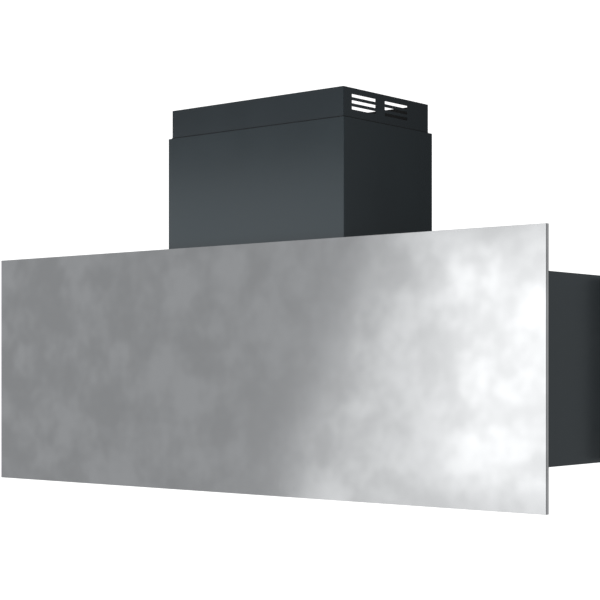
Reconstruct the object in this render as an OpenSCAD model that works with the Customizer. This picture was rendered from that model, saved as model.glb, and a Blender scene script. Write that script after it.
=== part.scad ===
// Island range hood: two large steel panels on a slim body, a telescopic chimney and a ceiling frame.
// Frame of the model: +X right, -Y front, +Z up, origin at the centre of the ceiling plate's top face.
// All sizes are in millimetres.

/* [Panels] */
// Width of the front and the rear panel
panel_w = 1200; // [1000:10:1500]
// Height of the front panel
panel_h = 414; // [400:1:520]
// Depth of a panel's folded edge
panel_t = 6.5; // [5:0.5:12]
// How far the front panel reaches past the body on every side, and the rear panel at its ends
panel_overhang = 60; // [40:1:60]
// How far the rear panel reaches past the body's top and bottom
rear_overhang = 0; // [0:1:60]
// Thickness of a panel's steel skin
skin_t = 1; // [0.8:0.1:1.5]
// Thickness of the seal between a panel and the body
seal_t = 2; // [1.5:0.5:4]

/* [Body] */
// Depth of the body from its front wall to its rear wall
body_d = 320; // [300:5:400]
// Thickness of the body's sheet steel
sheet = 1.2; // [1:0.1:1.5]
// Width of the flanges that stiffen the body's sheets
flange = 12; // [8:1:15]

/* [Chimney] */
// Width of the lower chimney
chimney_w = 396; // [380:1:480]
// Depth of the lower chimney
chimney_d = 245; // [235:1:300]
// Height of the lower chimney
chimney_h = 259; // [240:1:262]
// Sheet thickness of the lower chimney and the sleeve
chimney_sheet = 1; // [0.8:0.1:1.5]
// Outside bend radius of the chimney's corners
chimney_bend = 2.5; // [2:0.5:6]
// Gap between the lower chimney and the sleeve inside it
sleeve_gap = 4; // [2:0.5:5]
// Height of the sleeve
sleeve_h = 262; // [240:1:262]
// Height of the sleeve that shows above the lower chimney
sleeve_show = 50; // [42:1:60]

/* [Vent slots] */
// Length of a slot
slot_len = 64; // [40:1:70]
// Height of a slot
slot_h = 5; // [3:0.5:7]
// Distance from one slot to the next below it
slot_pitch = 10; // [8:0.5:13]
// Number of slots in a column
slot_rows = 3; // [1:1:3]
// Distance from the sleeve's top to the first slot
slot_drop = 10; // [8:1:16]
// Distance from the sleeve's front to the first column
slot_edge = 22; // [15:1:30]
// Gap between the two columns
slot_gap = 25; // [15:1:40]

/* [Ceiling frame] */
// Height from the body's top to the ceiling at the shortest setting
frame_h = 267; // [264:1:340]
// Thickness of the ceiling plate
plate_t = 3; // [2:0.5:5]
// Gap from the sleeve's inside to the frame, at its sides
frame_side_gap = 42; // [30:1:60]
// Gap from the sleeve's inside to the frame, at its front and back
frame_front_gap = 8.5; // [7:0.5:15]
// Leg of the frame's angle posts
angle_leg = 25; // [22:1:30]
// Thickness of the angle posts
angle_t = 2; // [1.5:0.5:3]
// Gap between an upper post and the lower post nested in it
post_gap = 0.3; // [0.3:0.1:1]
// Hole for the duct in the ceiling plate
duct_hole_d = 170; // [160:1:180]
// Spacing of the ceiling bolts across the plate
ceiling_bolts_x = 240; // [230:1:260]
// Spacing of the ceiling bolts along the plate's depth
ceiling_bolts_y = 120; // [100:1:140]
// Hole for a ceiling bolt
ceiling_hole_d = 9; // [7:0.5:11]

/* [Duct] */
// Outer diameter of the duct collar
duct_d = 149.5; // [119.5:0.5:149.5]
// Height of the duct collar
collar_h = 60; // [50:1:80]
// Wall of the duct collar
collar_t = 2; // [1.5:0.5:3]
// Thickness of a damper flap
flap_t = 1.5; // [1:0.5:2]

/* [Blower] */
// Outer diameter of the blower wheel
wheel_d = 150; // [120:1:156]
// Width of the blower wheel
wheel_w = 140; // [120:1:146]
// Number of blades
blades = 32; // [20:1:40]
// Inside width of the scroll housing
scroll_w = 155; // [150:1:160]
// Wall of the scroll housing
scroll_t = 2.5; // [2:0.5:3]
// Depth of the wheel's axis below the body's top sheet
wheel_drop = 137; // [130:1:138]
// Outer diameter of the motor
motor_d = 84; // [70:1:90]
// Length of the motor
motor_l = 60; // [55:1:62]
// Diameter of the motor shaft
shaft_d = 8; // [6:1:10]

/* [Filters] */
// Height of a filter
filter_h = 12; // [10:0.5:16]
// Width of a filter frame's rails
filter_rail = 12; // [11:0.5:16]
// Gap between neighbouring filters
filter_gap = 2; // [1:0.5:4]
// Width of one baffle channel
baffle_w = 22; // [18:1:26]
// Margin of the bottom tray beside the filters
tray_side = 89; // [80:1:110]
// Margin of the bottom tray in front of and behind the filters
tray_front = 33; // [32:1:40]

/* [Lamps and controls] */
// Diameter of a lamp's trim ring
lamp_d = 62; // [50:1:64]
// Distance of the lamps from the body's ends
lamp_inset = 45; // [36:1:48]
// Distance of the lamps from the body's middle plane
lamp_y = 70; // [40:1:90]
// Number of push buttons
buttons = 4; // [4]
// Distance from one button to the next
button_pitch = 26; // [16:1:28]
// Diameter of a button
button_d = 11; // [8:0.5:12]
// Travel of a button
button_travel = 2.5; // [1.5:0.5:3]

/* [Hidden] */

// How far a cutting shape runs past the surface it cuts
cut = 1;
// Gap between two pieces of one body that lie side by side
fit_gap = 0.1;
// Gap between two pieces that move past each other
move_gap = 0.3;
// Radial gap of a pin or shaft in its bore
run_gap = 0.05;
// Radial gap of a bolt or screw in its hole
hole_play = 0.2;

// Levels and outlines that follow from the driving sizes
body_w = panel_w - 2 * panel_overhang;
body_h = panel_h - 2 * panel_overhang;
body_top = -frame_h;
body_bottom = body_top - body_h;
panel_top = body_top + panel_overhang;
panel_bottom = body_bottom - panel_overhang;
rear_panel_top = body_top + rear_overhang;
rear_panel_bottom = body_bottom - rear_overhang;
panel_back_y = body_d / 2 + seal_t;
panel_face_y = panel_back_y + panel_t;
chimney_top = body_top + chimney_h;
sleeve_w = chimney_w - 2 * (chimney_sheet + sleeve_gap);
sleeve_d = chimney_d - 2 * (chimney_sheet + sleeve_gap);
sleeve_bend = chimney_bend - chimney_sheet;
sleeve_top = chimney_top + sleeve_show;
sleeve_bottom = sleeve_top - sleeve_h;

// Ceiling frame: the upper posts end above the body, the lower posts end below the plate
frame_w = sleeve_w - 2 * (chimney_sheet + frame_side_gap);
frame_d = sleeve_d - 2 * (chimney_sheet + frame_front_gap);
lower_x = frame_w / 2 - angle_t - post_gap;
lower_y = frame_d / 2 - angle_t - post_gap;
lower_leg = angle_leg - 1;
post_end_gap = 12;
upper_post_bottom = body_top + post_end_gap;
lower_post_top = -plate_t - 17;
brace_h = 14;
brace_t = 1.5;
brace_bottom = upper_post_bottom + 3;
brace_top = brace_bottom + brace_h;

// Frame screws run in slots of the upper posts
screw_r = 2.4;
screw_head_r = 5;
screw_head_h = 2.8;
screw_play = 0.6;
screw_off = 15;
screw_z = lower_post_top - 10;
height_travel = screw_z - brace_top - screw_head_r - 3;
nut_across = 8;
nut_h = 4;

// Base rails of the lower frame and the carrier rails under the body's top
rail_t = 3;
carrier_w = 30;
carrier_h = 20;
carrier_t = 1.5;
carrier_y = 97;
base_bolt_x = lower_x - angle_leg / 2;
base_bolt_r = 3;
base_nut_across = 10;
base_nut_h = 5;

// Sheets of the body, one inside another
wall_y = body_d / 2;
cover_x = body_w / 2 - sheet;
top_under = body_top - sheet;
wall_flange_top = top_under - fit_gap;
tray_bottom = body_bottom + sheet + fit_gap;
tray_top = tray_bottom + sheet;
tray_rim = 15;
wall_lip = 4;
open_w = body_w - 2 * tray_side;
open_d = body_d - 2 * tray_front;
open_flange_h = 5;

// Filters hang on pins at their rear edge
filters = 3;
filter_w = (open_w - (filters + 1) * filter_gap) / filters;
filter_edge_gap = 3;
filter_d = open_d - 2 * filter_edge_gap;
filter_bottom = tray_bottom + 0.2;
filter_lip = 1;
hinge_y = filter_d / 2 - 4;
hinge_z = filter_bottom + 4;
hinge_pin_r = 2;
notch_w = 24;
notch_wall = 2;
hook_w = 12;
hinge_offset = 90;
baffle_pitch = 34;
baffle_h = 4.5;
baffle_t = 0.8;
handle_l = 90;
handle_r = 3.5;
handle_drop = 22;
handle_inset = 40;
clip_w = 14;
clip_t = 0.6;
clip_reach = 2.5;

// Duct collar and its two damper flaps
collar_r = duct_d / 2;
collar_in = collar_r - collar_t;
collar_flange_x = 92;
collar_flange_y = 80;
collar_flange_t = 2;
flap_z = body_top + 22;
flap_r = collar_in - 0.55;
flap_x = 2.2;
flap_pin_r = 1.6;
flap_pin_z = flap_z + flap_pin_r - flap_t / 2;

// Scroll housing: a spiral around the wheel that opens upward
wheel_r = wheel_d / 2;
wheel_in = wheel_r - 13;
scroll_gap = 9;
scroll_growth = 34;
scroll_sweep = 255;
tongue_angle = 75;
scroll_steps = 34;
outlet_half = 75;
wheel_y = wheel_r + scroll_gap + scroll_growth - outlet_half;
wheel_z = top_under - wheel_drop;
scroll_x = scroll_w / 2 + scroll_t;
inlet_r = wheel_in + 2;
lip_t = 3;
lip_reach = 12;
blower_bolt_x = scroll_x + lip_reach / 2;
blower_bolt_y = 60;
blower_bolt_r = 2.5;

// Motor, on a bracket over the left inlet, reaching into the wheel
motor_r = motor_d / 2;
motor_x0 = -scroll_x;
motor_x1 = motor_x0 + motor_l;
motor_wall = 2;
motor_end_t = 2.5;
bearing_r = 11;
bearing_l = 7;
rotor_r = 24;
air_gap = 0.5;
core_l = 32;
core_x0 = (motor_x0 + motor_x1 - core_l) / 2;
shaft_r = shaft_d / 2;
bracket_t = 3;
bracket_ring = 10;

// Electrical parts
wiring_x0 = 140;
wiring_x1 = 280;
wiring_y = 60;
wiring_h = 45;
wiring_t = 2;
gland_x = 172;
gland_bore_r = 4;
gland_thread_r = 8;
gland_hex_r = 11;
capacitor_r = 17.5;
capacitor_l = 60;
capacitor_x = -230;
capacitor_y = 30;
strap_t = 1.5;
strap_w = 16;
strap_ear = 8;

// Lamps
lamp_x = body_w / 2 - lamp_inset;
lamp_trim_t = 1.5;
lamp_barrel_r = lamp_d / 2 - 4.3;
lamp_window_r = lamp_d / 2 - 6;
lamp_hole_r = lamp_barrel_r + 0.3;
lamp_barrel_h = 14;
lamp_sink_h = 24;
lens_t = 2;

// Controls, in the tray's front margin
control_y = -(open_d / 2 + body_d / 2) / 2;
control_w = 150;
control_d = 22;
control_t = 1.5;
housing_h = 23;
housing_t = 1.5;
button_r = button_d / 2;
button_gap = 0.25;
button_proud = 2;
button_collar_r = button_r + 1.1;
switch_size = 6;
switch_h = 3.5;
board_t = 1.6;
board_z = tray_top + 13.5;

// Studs on the panels
stud_r = 3;
stud_pad_r = 12;
stud_pad_t = 1.5;
stud_l = 16;
stud_x = body_w / 2 - 60;
stud_top_z = body_top - 33;
stud_bottom_z = body_bottom + 36;

// Colours
anthracite = "#33393c";
satin_steel = "#a9acac";
zinc = "#b9bdc0";
black_plastic = "#26282a";
core_grey = "#4a4d50";
rubber_black = "#1b1c1d";
copper = "#b06a3a";
board_green = "#2f5d3f";
lens_white = "#e8ecef";

// ---- helpers ----

// Box from its lowest corner to its highest corner
module block(lo, hi) {
    translate(lo) cube(hi - lo);
}

module both_x() {
    children();
    mirror([1, 0, 0]) children();
}

module both_y() {
    children();
    mirror([0, 1, 0]) children();
}

module four_corners() {
    both_x() both_y() children();
}

// Outline in Y and Z, drawn out along X
module along_x(x0, x1) {
    translate([x0, 0, 0]) rotate([90, 0, 90]) linear_extrude(x1 - x0) children();
}

// Outline in X and Z, drawn out along Y
module along_y(y0, y1) {
    translate([0, y1, 0]) rotate([90, 0, 0]) linear_extrude(y1 - y0) children();
}

// Round bar or bore along Z, X or Y
module round_z(r, z0, z1) {
    translate([0, 0, z0]) cylinder(r = r, h = z1 - z0, $fn = 64);
}

module round_x(r, x0, x1) {
    translate([x0, 0, 0]) rotate([0, 90, 0]) cylinder(r = r, h = x1 - x0, $fn = 64);
}

module round_y(r, y0, y1) {
    translate([0, y1, 0]) rotate([90, 0, 0]) cylinder(r = r, h = y1 - y0, $fn = 64);
}

// Hexagon nut along Z, with its bore
module hex_nut(across, bore_r, z0, z1) {
    difference() {
        translate([0, 0, z0]) cylinder(d = across / cos(30), h = z1 - z0, $fn = 6);
        round_z(bore_r, z0 - cut, z1 + cut);
    }
}

// Points of a quarter turn about a corner's centre
function quarter(cx, cy, r, start, steps) =
    [for (i = [0:steps]) [cx + r * cos(start + 90 * i / steps), cy + r * sin(start + 90 * i / steps)]];

// Rectangle with round corners, centred
module round_rect(w, d, r) {
    polygon(concat(
        quarter(w / 2 - r, d / 2 - r, r, 0, 6),
        quarter(r - w / 2, d / 2 - r, r, 90, 6),
        quarter(r - w / 2, r - d / 2, r, 180, 6),
        quarter(w / 2 - r, r - d / 2, r, 270, 6)));
}

// Angle post whose outer corner is at x, y
module angle_post(x, y, leg, z0, z1) {
    block([x - leg, y - angle_t, z0], [x, y, z1]);
    block([x - angle_t, y - leg, z0], [x, y, z1]);
}

// ---- ceiling frame ----

module ceiling_plate() {
    color(zinc) difference() {
        block([-frame_w / 2, -frame_d / 2, -plate_t], [frame_w / 2, frame_d / 2, 0]);
        round_z(duct_hole_d / 2, -plate_t - cut, cut);
        four_corners() translate([ceiling_bolts_x / 2, ceiling_bolts_y / 2, 0])
            round_z(ceiling_hole_d / 2, -plate_t - cut, cut);
    }
}

// Slot for a frame screw, along one leg of an upper post
module post_slots() {
    half = screw_r + screw_play;
    top = screw_z + screw_r + 1.5;
    bottom = screw_z - height_travel - screw_r - 1.5;
    x = frame_w / 2;
    y = frame_d / 2;
    block([x - angle_t - cut, y - screw_off - half, bottom], [x + cut, y - screw_off + half, top]);
    block([x - screw_off - half, y - angle_t - cut, bottom], [x - screw_off + half, y + cut, top]);
}

module upper_posts() {
    color(zinc) four_corners() difference() {
        angle_post(frame_w / 2, frame_d / 2, angle_leg, upper_post_bottom, -plate_t);
        post_slots();
    }
}

// Flat band around the lower ends of the upper posts
module upper_brace() {
    color(zinc) difference() {
        block([-frame_w / 2 - brace_t, -frame_d / 2 - brace_t, brace_bottom],
              [frame_w / 2 + brace_t, frame_d / 2 + brace_t, brace_top]);
        block([-frame_w / 2, -frame_d / 2, brace_bottom - cut], [frame_w / 2, frame_d / 2, brace_top + cut]);
    }
}

// ---- lower frame, on the body ----

// Hole for one bolt of the base rails
module base_bolt_hole(z0, z1) {
    translate([base_bolt_x, carrier_y, 0]) round_z(base_bolt_r + hole_play, z0, z1);
}

module lower_frame() {
    color(zinc) both_x() difference() {
        union() {
            block([lower_x - angle_leg, -lower_y, body_top], [lower_x, lower_y, body_top + rail_t]);
            both_y() angle_post(lower_x, lower_y, lower_leg, body_top, lower_post_top);
        }
        both_y() {
            translate([0, frame_d / 2 - screw_off, screw_z])
                round_x(screw_r + hole_play, lower_x - 3 * angle_t, lower_x + cut);
            translate([frame_w / 2 - screw_off, 0, screw_z])
                round_y(screw_r + hole_play, lower_y - 3 * angle_t, lower_y + cut);
            base_bolt_hole(body_top - cut, body_top + rail_t + cut);
        }
    }
}

// Screw along Z with its head at the top and its nut at the bottom; the joint is between head and nut
module screw_and_nut(grip) {
    round_z(screw_head_r, 0, screw_head_h);
    round_z(screw_r, -grip - nut_h - 1, 0);
    hex_nut(nut_across, screw_r + run_gap, -grip - nut_h, -grip);
}

module frame_screws() {
    grip = 2 * angle_t + 2 * post_gap;
    color(zinc) four_corners() {
        translate([frame_w / 2 + post_gap, frame_d / 2 - screw_off, screw_z])
            rotate([0, 90, 0]) screw_and_nut(grip);
        translate([frame_w / 2 - screw_off, frame_d / 2 + post_gap, screw_z])
            rotate([-90, 0, 0]) screw_and_nut(grip);
    }
}

module base_bolts() {
    head_z = body_top + rail_t;
    nut_z = wall_flange_top - carrier_t;
    color(zinc) four_corners() translate([base_bolt_x, carrier_y, 0]) {
        hex_nut(base_nut_across, base_bolt_r + run_gap, nut_z - base_nut_h, nut_z);
        translate([0, 0, head_z]) cylinder(d = base_nut_across / cos(30), h = 4, $fn = 6);
        round_z(base_bolt_r, nut_z - base_nut_h - 2, head_z);
    }
}

// ---- chimney ----

// Wall of a folded chimney: everything between an outline and the same outline one sheet further in
module chimney_ring(w, d, bend, z0, z1) {
    translate([0, 0, z0]) linear_extrude(z1 - z0) difference() {
        round_rect(w, d, bend);
        round_rect(w - 2 * chimney_sheet, d - 2 * chimney_sheet, max(bend - chimney_sheet, 0.4));
    }
}

// Front of a chimney with both sides, folded in at the rear to carry the rear plate
module chimney_front(w, d, bend, z0, z1) {
    side_in = w / 2 - chimney_sheet;
    fold_y = d / 2 - chimney_sheet - fit_gap;
    difference() {
        chimney_ring(w, d, bend, z0, z1);
        block([-side_in, 0, z0 - cut], [side_in, d, z1 + cut]);
        block([-w, d / 2 - 2 * chimney_sheet, z0 - cut], [w, d, z1 + cut]);
    }
    both_x() {
        block([side_in - flange, fold_y - chimney_sheet, z0], [w / 2, fold_y, z1]);
    }
}

module chimney_rear(w, d, z0, z1) {
    block([-w / 2, d / 2 - chimney_sheet, z0], [w / 2, d / 2, z1]);
}

// Two columns of slots through both sides of the sleeve
module vent_slots() {
    for (column = [0:1], row = [0:slot_rows - 1]) {
        y0 = -sleeve_d / 2 + slot_edge + column * (slot_len + slot_gap);
        z1 = sleeve_top - slot_drop - row * slot_pitch;
        block([-sleeve_w, y0, z1 - slot_h], [sleeve_w, y0 + slot_len, z1]);
    }
}

module sleeve_front() {
    color(anthracite) difference() {
        chimney_front(sleeve_w, sleeve_d, sleeve_bend, sleeve_bottom, sleeve_top);
        vent_slots();
    }
}

module sleeve_rear() {
    color(anthracite) chimney_rear(sleeve_w, sleeve_d, sleeve_bottom, sleeve_top);
}

module lower_chimney_front() {
    color(anthracite) chimney_front(chimney_w, chimney_d, chimney_bend, body_top, chimney_top);
}

module lower_chimney_rear() {
    color(anthracite) chimney_rear(chimney_w, chimney_d, body_top, chimney_top);
}

// Angle brackets that hold the lower chimney to the body's top, clear of the sleeve's lowest place
module chimney_brackets() {
    x = chimney_w / 2 - chimney_sheet;
    reach = sleeve_gap - move_gap;
    color(zinc) both_x() both_y() {
        block([x - 12, 40, body_top], [x, 70, body_top + 1.5]);
        block([x - min(1.5, reach), 40, body_top], [x, 70, body_top + 14]);
    }
}

// ---- body sheets ----

module top_plate() {
    color(anthracite) difference() {
        block([-cover_x + fit_gap, -wall_y, top_under], [cover_x - fit_gap, wall_y, body_top]);
        round_z(collar_in, top_under - cut, body_top + cut);
        four_corners() base_bolt_hole(top_under - cut, body_top + cut);
        four_corners() blower_bolt_hole(top_under - cut, body_top + cut);
        translate([gland_x, 0, 0]) round_z(gland_thread_r + 0.1, top_under - cut, body_top + cut);
    }
}

// Channels under the top plate that take the hood's weight to the frame
module carrier_rails() {
    x = cover_x - flange - 2 * fit_gap;
    z1 = wall_flange_top;
    y0 = carrier_y - carrier_w / 2;
    y1 = carrier_y + carrier_w / 2;
    color(zinc) both_y() difference() {
        block([-x, y0, z1 - carrier_h], [x, y1, z1]);
        block([-x - cut, y0 + carrier_t, z1 - carrier_h - cut], [x + cut, y1 - carrier_t, z1 - carrier_t]);
        both_x() base_bolt_hole(z1 - carrier_t - cut, z1 + cut);
    }
}

module stud_places() {
    for (x = [-stud_x, 0, stud_x], z = [stud_bottom_z, stud_top_z]) translate([x, 0, z]) children();
}

// Front wall, folded inward along its top and bottom
module wall_sheet() {
    x = cover_x - fit_gap;
    difference() {
        union() {
            block([-x, -wall_y, body_bottom], [x, -wall_y + sheet, wall_flange_top]);
            block([-x, -wall_y, wall_flange_top - sheet], [x, -wall_y + flange + sheet, wall_flange_top]);
            block([-x, -wall_y, body_bottom], [x, -wall_y + wall_lip, body_bottom + sheet]);
        }
        stud_places() round_y(stud_r + hole_play, -wall_y - cut, -wall_y + sheet + cut);
    }
}

module front_wall() {
    color(anthracite) wall_sheet();
}

module rear_wall() {
    color(anthracite) mirror([0, 1, 0]) wall_sheet();
}

// End cover with its flanges tucked behind the walls and the top
module end_cover() {
    inner_y = wall_y - sheet - fit_gap;
    flange_x = cover_x - flange;
    z1 = wall_flange_top - 15;
    z0 = tray_top + tray_rim + 1;
    block([cover_x, -wall_y, body_bottom], [body_w / 2, wall_y, body_top]);
    both_y() block([flange_x, inner_y - sheet, z0], [cover_x, inner_y, z1]);
    block([flange_x, -wall_y + 20, wall_flange_top - sheet], [cover_x, wall_y - 20, wall_flange_top]);
}

module end_cover_left() {
    color(anthracite) mirror([1, 0, 0]) end_cover();
}

module end_cover_right() {
    color(anthracite) end_cover();
}

// Bottom tray: rim turned up around the outside and around the filter opening, with hooks for the filters
module bottom_tray() {
    x = cover_x - fit_gap;
    y = wall_y - sheet - fit_gap;
    color(anthracite) hinge_hooks();
    color(anthracite) difference() {
        union() {
            block([-x, -y, tray_bottom], [x, y, tray_top]);
            difference() {
                block([-x, -y, tray_bottom], [x, y, tray_top + tray_rim]);
                block([-x + sheet, -y + sheet, tray_bottom - cut],
                      [x - sheet, y - sheet, tray_top + tray_rim + cut]);
            }
            block([-open_w / 2 - sheet, -open_d / 2 - sheet, tray_bottom],
                  [open_w / 2 + sheet, open_d / 2 + sheet, tray_top + open_flange_h]);
        }
        block([-open_w / 2, -open_d / 2, tray_bottom - cut], [open_w / 2, open_d / 2, tray_top + tray_rim]);
        four_corners() translate([lamp_x, lamp_y, 0]) round_z(lamp_hole_r, tray_bottom - cut, tray_top + cut);
        button_window(tray_bottom - cut, tray_top + cut);
    }
}

// Opening in the tray behind the control plate, wide enough for the buttons' collars
module button_window(z0, z1) {
    half_x = (buttons - 1) / 2 * button_pitch + button_collar_r + 3;
    half_y = button_collar_r + 0.9;
    translate([0, control_y, 0]) block([-half_x, -half_y, z0], [half_x, half_y, z1]);
}

// ---- panels ----

// A panel's skin at the front: a shallow folded tray, open at its back
module panel_skin(z0, z1) {
    x = panel_w / 2;
    difference() {
        block([-x, -panel_face_y, z0], [x, -panel_back_y, z1]);
        block([-x + skin_t, -panel_face_y + skin_t, z0 + skin_t],
              [x - skin_t, -panel_back_y + cut, z1 - skin_t]);
    }
}

module front_panel_skin() {
    color(satin_steel) panel_skin(panel_bottom, panel_top);
}

module rear_panel_skin() {
    color(satin_steel) mirror([0, 1, 0]) panel_skin(rear_panel_bottom, rear_panel_top);
}

// Stiffening board that fills a skin at the front
module panel_core(z0, z1) {
    edge = skin_t + 0.5;
    x = panel_w / 2 - edge;
    block([-x, -panel_face_y + skin_t + 0.2, z0 + edge], [x, -panel_back_y, z1 - edge]);
}

module panel_cores() {
    color(core_grey) {
        panel_core(panel_bottom, panel_top);
        mirror([0, 1, 0]) panel_core(rear_panel_bottom, rear_panel_top);
    }
}

// Seal strips between a panel and its wall, along the top and bottom
module panel_seals() {
    x = body_w / 2 - 10;
    color(rubber_black) both_y() {
        block([-x, -panel_back_y, body_top - 14], [x, -wall_y, body_top - 2]);
        block([-x, -panel_back_y, body_bottom + 2], [x, -wall_y, body_bottom + 14]);
    }
}

// Studs on the boards, through the walls, with nuts inside
module panel_studs() {
    nut_y = -wall_y + sheet;
    color(zinc) both_y() stud_places() {
        round_y(stud_pad_r, -panel_back_y, -panel_back_y + stud_pad_t);
        round_y(stud_r, -panel_back_y + stud_pad_t, -panel_back_y + stud_l);
        translate([0, nut_y, 0]) rotate([-90, 0, 0])
            hex_nut(base_nut_across, stud_r + run_gap, 0, base_nut_h);
    }
}

// ---- duct collar and dampers ----

// Hole for one bolt through the collar, the top plate and the scroll
module blower_bolt_hole(z0, z1) {
    translate([blower_bolt_x, blower_bolt_y, 0]) round_z(blower_bolt_r + hole_play, z0, z1);
}

module duct_collar() {
    ledge_z = flap_z - flap_t / 2 - move_gap;
    color(black_plastic) difference() {
        union() {
            block([-collar_flange_x, -collar_flange_y, body_top],
                  [collar_flange_x, collar_flange_y, body_top + collar_flange_t]);
            round_z(collar_r, body_top, body_top + collar_h);
        }
        round_z(collar_in - 2.2, body_top - cut, body_top + collar_h + cut);
        round_z(collar_in, ledge_z, body_top + collar_h + cut);
        round_z(collar_in, body_top - cut, ledge_z - 2);
        both_x() translate([flap_x, 0, flap_pin_z])
            round_y(flap_pin_r + run_gap, -collar_r - cut, collar_r + cut);
        four_corners() blower_bolt_hole(body_top - cut, body_top + collar_flange_t + cut);
    }
}

// Right-hand flap: half a disc on its own pin
module damper() {
    pin_half = sqrt(pow(collar_r, 2) - pow(flap_x + flap_pin_r, 2)) - 0.3;
    translate([flap_x, 0, flap_pin_z]) round_y(flap_pin_r, -pin_half, pin_half);
    intersection() {
        round_z(flap_r, flap_z - flap_t / 2, flap_z + flap_t / 2);
        block([flap_x, -flap_r, flap_z - flap_t], [flap_r, flap_r, flap_z + flap_t]);
    }
}

module damper_left() {
    color(satin_steel) mirror([1, 0, 0]) damper();
}

module damper_right() {
    color(satin_steel) damper();
}

// ---- blower ----

// Radius of the spiral after it has turned by some angle from the tongue
function spiral_r(turned) = wheel_r + scroll_gap + scroll_growth * turned / scroll_sweep;

// Outline of the scroll in Y and Z, grown outward by a wall
function scroll_points(wall, top) = concat(
    [for (i = [0:scroll_steps])
        let (turned = scroll_sweep * i / scroll_steps, a = tongue_angle - turned, r = spiral_r(turned) + wall)
        [wheel_y + r * cos(a), wheel_z + r * sin(a)]],
    [[-outlet_half - wall, top], [outlet_half + wall, top]]);

// Right half of the scroll, cut at the middle plane
module scroll_half() {
    difference() {
        union() {
            along_x(0, scroll_x) polygon(scroll_points(scroll_t, top_under));
            block([scroll_x - scroll_t, -outlet_half - scroll_t, top_under - lip_t],
                  [scroll_x + lip_reach, outlet_half + scroll_t, top_under]);
        }
        along_x(-cut, scroll_w / 2) polygon(scroll_points(0, top_under + cut));
        translate([0, wheel_y, wheel_z]) round_x(inlet_r, 0, scroll_x + cut);
        both_y() blower_bolt_hole(top_under - lip_t - cut, top_under + cut);
    }
}

module scroll_left() {
    color(black_plastic) mirror([1, 0, 0]) scroll_half();
}

module scroll_right() {
    color(black_plastic) scroll_half();
}

module blower_bolts() {
    head_z = body_top + collar_flange_t;
    nut_z = top_under - lip_t;
    color(zinc) four_corners() translate([blower_bolt_x, blower_bolt_y, 0]) {
        round_z(blower_bolt_r + 2, head_z, head_z + 3);
        round_z(blower_bolt_r, nut_z - nut_h - 1, head_z);
        hex_nut(nut_across, blower_bolt_r + run_gap, nut_z - nut_h, nut_z);
    }
}

// Three arms and a ring over the left inlet
module motor_bracket() {
    x0 = motor_x0 - bracket_t;
    color(zinc) translate([0, wheel_y, wheel_z]) difference() {
        union() {
            difference() {
                round_x(inlet_r + bracket_ring, x0, motor_x0);
                round_x(inlet_r, x0 - cut, motor_x0 + cut);
            }
            round_x(motor_r - 10, x0, motor_x0);
            for (turn = [0:120:240]) rotate([turn, 0, 0])
                block([x0, -7, 0], [motor_x0, 7, inlet_r + bracket_ring / 2]);
        }
        round_x(bearing_r + 1, x0 - cut, motor_x0 + cut);
    }
}

module motor_shell() {
    color(zinc) translate([0, wheel_y, wheel_z]) difference() {
        round_x(motor_r, motor_x0, motor_x1);
        round_x(motor_r - motor_wall, motor_x0 + motor_end_t, motor_x1 - motor_end_t);
        round_x(bearing_r + run_gap, motor_x0 - cut, motor_x1 + cut);
    }
}

module motor_stator() {
    slots = 12;
    color(copper) translate([0, wheel_y, wheel_z]) difference() {
        round_x(motor_r - motor_wall - run_gap, core_x0, core_x0 + core_l);
        round_x(rotor_r + air_gap, core_x0 - cut, core_x0 + core_l + cut);
        for (i = [0:slots - 1]) rotate([360 / slots * i, 0, 0])
            block([core_x0 - cut, -1.5, rotor_r], [core_x0 + core_l + cut, 1.5, motor_r - motor_wall - 6]);
    }
}

module motor_bearings() {
    color(satin_steel) translate([0, wheel_y, wheel_z]) for (x = [motor_x0, motor_x1 - bearing_l])
        difference() {
            round_x(bearing_r, x, x + bearing_l);
            round_x(shaft_r + run_gap, x - cut, x + bearing_l + cut);
        }
}

hub_l = 24;
hub_r = 12;

module motor_shaft() {
    color(satin_steel) translate([0, wheel_y, wheel_z]) round_x(shaft_r, motor_x0 - 2, hub_l / 2 + 2);
}

module motor_rotor() {
    color(zinc) translate([0, wheel_y, wheel_z]) difference() {
        round_x(rotor_r, core_x0, core_x0 + core_l);
        round_x(shaft_r, core_x0 - cut, core_x0 + core_l + cut);
    }
}

// Double-inlet wheel: a middle disc with a hub, two end rings, and blades through all three
module blower_wheel() {
    half = wheel_w / 2;
    ring_t = 3;
    disc_t = 3;
    blade_t = 1.2;
    blade_l = 12;
    blade_lean = 35;
    blade_r = (wheel_r + wheel_in) / 2;
    color(black_plastic) translate([0, wheel_y, wheel_z]) difference() {
        union() {
            round_x(wheel_r, -disc_t / 2, disc_t / 2);
            round_x(hub_r, -hub_l / 2, hub_l / 2);
            for (x = [-half, half - ring_t]) difference() {
                round_x(wheel_r, x, x + ring_t);
                round_x(wheel_in, x - cut, x + ring_t + cut);
            }
            along_x(-half + ring_t / 2, half - ring_t / 2) for (i = [0:blades - 1])
                rotate(360 / blades * i) translate([blade_r, 0]) rotate(blade_lean)
                    square([blade_l, blade_t], center = true);
        }
        round_x(shaft_r, -hub_l, hub_l);
    }
}

// ---- electrical parts ----

// Motor capacitor, hung under the body's top in a strap
module capacitor() {
    z = top_under - capacitor_r - strap_t;
    strap_r = capacitor_r + strap_t;
    strap_x = capacitor_x + (capacitor_l - strap_w) / 2;
    color(satin_steel) translate([0, capacitor_y, z]) {
        round_x(capacitor_r, capacitor_x, capacitor_x + capacitor_l);
        round_x(4, capacitor_x + capacitor_l, capacitor_x + capacitor_l + 8);
        difference() {
            union() {
                round_x(strap_r, strap_x, strap_x + strap_w);
                block([strap_x, -strap_r - strap_ear, strap_r - strap_t],
                      [strap_x + strap_w, strap_r + strap_ear, strap_r]);
            }
            round_x(capacitor_r + fit_gap, strap_x - cut, strap_x + strap_w + cut);
        }
    }
}

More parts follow.
